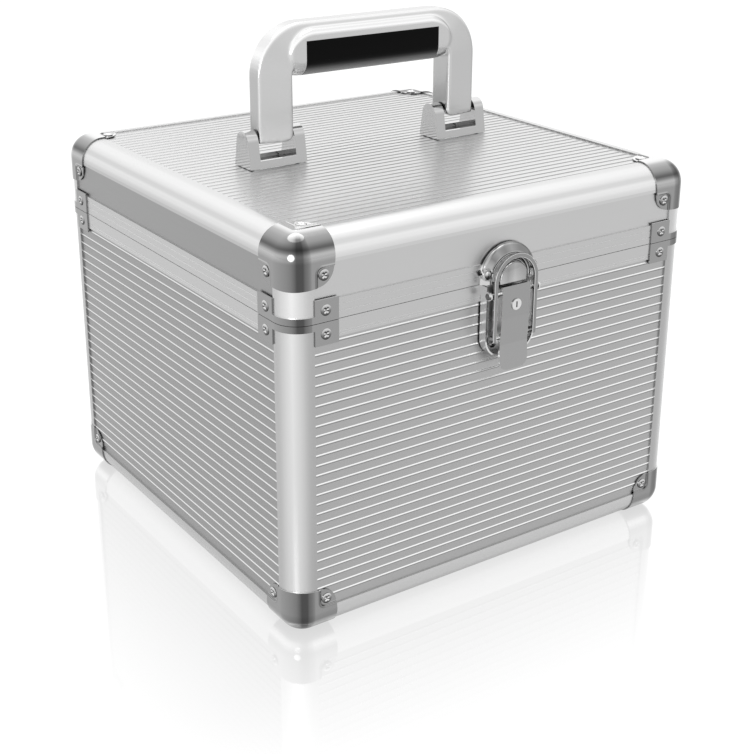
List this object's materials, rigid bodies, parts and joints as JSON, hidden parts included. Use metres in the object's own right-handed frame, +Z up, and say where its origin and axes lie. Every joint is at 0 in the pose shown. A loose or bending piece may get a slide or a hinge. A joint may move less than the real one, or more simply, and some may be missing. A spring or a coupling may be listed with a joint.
{
  "type": "supply case",
  "caption": "Square lidded supply case with ribbed aluminium panels, rounded extruded edges, ball corners, a fold-down top handle, rear hinges and a keyed toggle latch.",
  "frame": {"origin": "middle of the footprint, latch and hinges included, on the surface that the case stands on", "axes": "+X to the right, -Y towards the latch side (front), +Z up"},
  "size_m": [0.297, 0.3054, 0.3267],
  "materials": {
    "ribbed_board": "satin",
    "top_board": "satin",
    "floor_board": "satin",
    "band_board": "satin",
    "edge_profile": "satin anodised",
    "rim_profile": "satin anodised",
    "corner_shell": "polished",
    "screw": "bright zinc",
    "foam": "matte foam",
    "latch_plate": "polished",
    "hinge_leaf": "nickel plated",
    "bracket_plate": "polished",
    "handle_silver": "satin",
    "grip_black": "gloss"
  },
  "bodies": {
    "case": {"base_front_panel": "ribbed_board", "base_back_panel": "ribbed_board", "base_left_panel": "ribbed_board", "base_right_panel": "ribbed_board", "base_floor_panel": "floor_board", "base_post_front_left": "edge_profile", "base_post_front_right": "edge_profile", "base_post_back_left": "edge_profile", "base_post_back_right": "edge_profile", "base_edges": "edge_profile", "base_rim": "rim_profile", "base_corner_front_left": "corner_shell", "base_corner_front_right": "corner_shell", "base_corner_back_left": "corner_shell", "base_corner_back_right": "corner_shell", "base_clasps": "corner_shell", "base_corner_screws": "screw", "base_clasp_screws": "screw", "base_floor_lining": "foam", "base_wall_lining": "foam", "latch_base": "latch_plate", "latch_base_rivets": "screw", "latch_lever_pin": "screw", "hinge_base_leaves": "hinge_leaf", "hinge_base_rivets": "screw", "hinge_pins": "screw"},
    "lid": {"lid_top_panel": "top_board", "lid_front_band": "band_board", "lid_back_band": "band_board", "lid_left_band": "band_board", "lid_right_band": "band_board", "lid_posts": "edge_profile", "lid_edges": "edge_profile", "lid_rim": "rim_profile", "lid_corner_front_left": "corner_shell", "lid_corner_front_right": "corner_shell", "lid_corner_back_left": "corner_shell", "lid_corner_back_right": "corner_shell", "lid_clasps": "corner_shell", "lid_corner_screws": "screw", "lid_clasp_screws": "screw", "lid_top_lining": "foam", "lid_wall_lining": "foam", "latch_catch": "latch_plate", "latch_catch_rivets": "screw", "hinge_lid_leaves": "hinge_leaf", "hinge_lid_rivets": "screw", "handle_bracket_left": "bracket_plate", "handle_bracket_right": "bracket_plate", "handle_backing_plates": "bracket_plate", "handle_pins": "screw"},
    "handle": {"handle_frame": "handle_silver", "handle_grip_insert": "grip_black"},
    "lever": {"latch_lever": "latch_plate", "latch_bail_studs": "screw"},
    "bail": {"latch_bail": "latch_plate"},
    "lock": {"lock_plug": "latch_plate", "lock_cam": "latch_plate"}
  },
  "joints": [
    {"name": "lid_hinge", "type": "hinge", "parent": "case", "child": "lid", "pos_m": [0, 0.1495, 0.1927], "axis": [-1, 0, 0], "range_deg": [0, 95]},
    {"name": "handle_fold", "type": "hinge", "parent": "lid", "child": "handle", "pos_m": [0, 0.002, 0.2578], "axis": [1, 0, 0], "range_deg": [-95, 95]},
    {"name": "latch_lever_swing", "type": "hinge", "parent": "case", "child": "lever", "pos_m": [0, -0.149, 0.1871], "axis": [-1, 0, 0], "range_deg": [0, 120]},
    {"name": "latch_bail_swing", "type": "hinge", "parent": "lever", "child": "bail", "pos_m": [0, -0.149, 0.16], "axis": [-1, 0, 0], "range_deg": [-168, 0]},
    {"name": "lock_turn", "type": "hinge", "parent": "lever", "child": "lock", "pos_m": [0, -0.151, 0.18], "axis": [0, -1, 0], "range_deg": [0, 90]}
  ],
  "couplings": [
    {"joint": "latch_bail_swing", "follows": "latch_lever_swing", "ratio": -1.4}
  ]
}
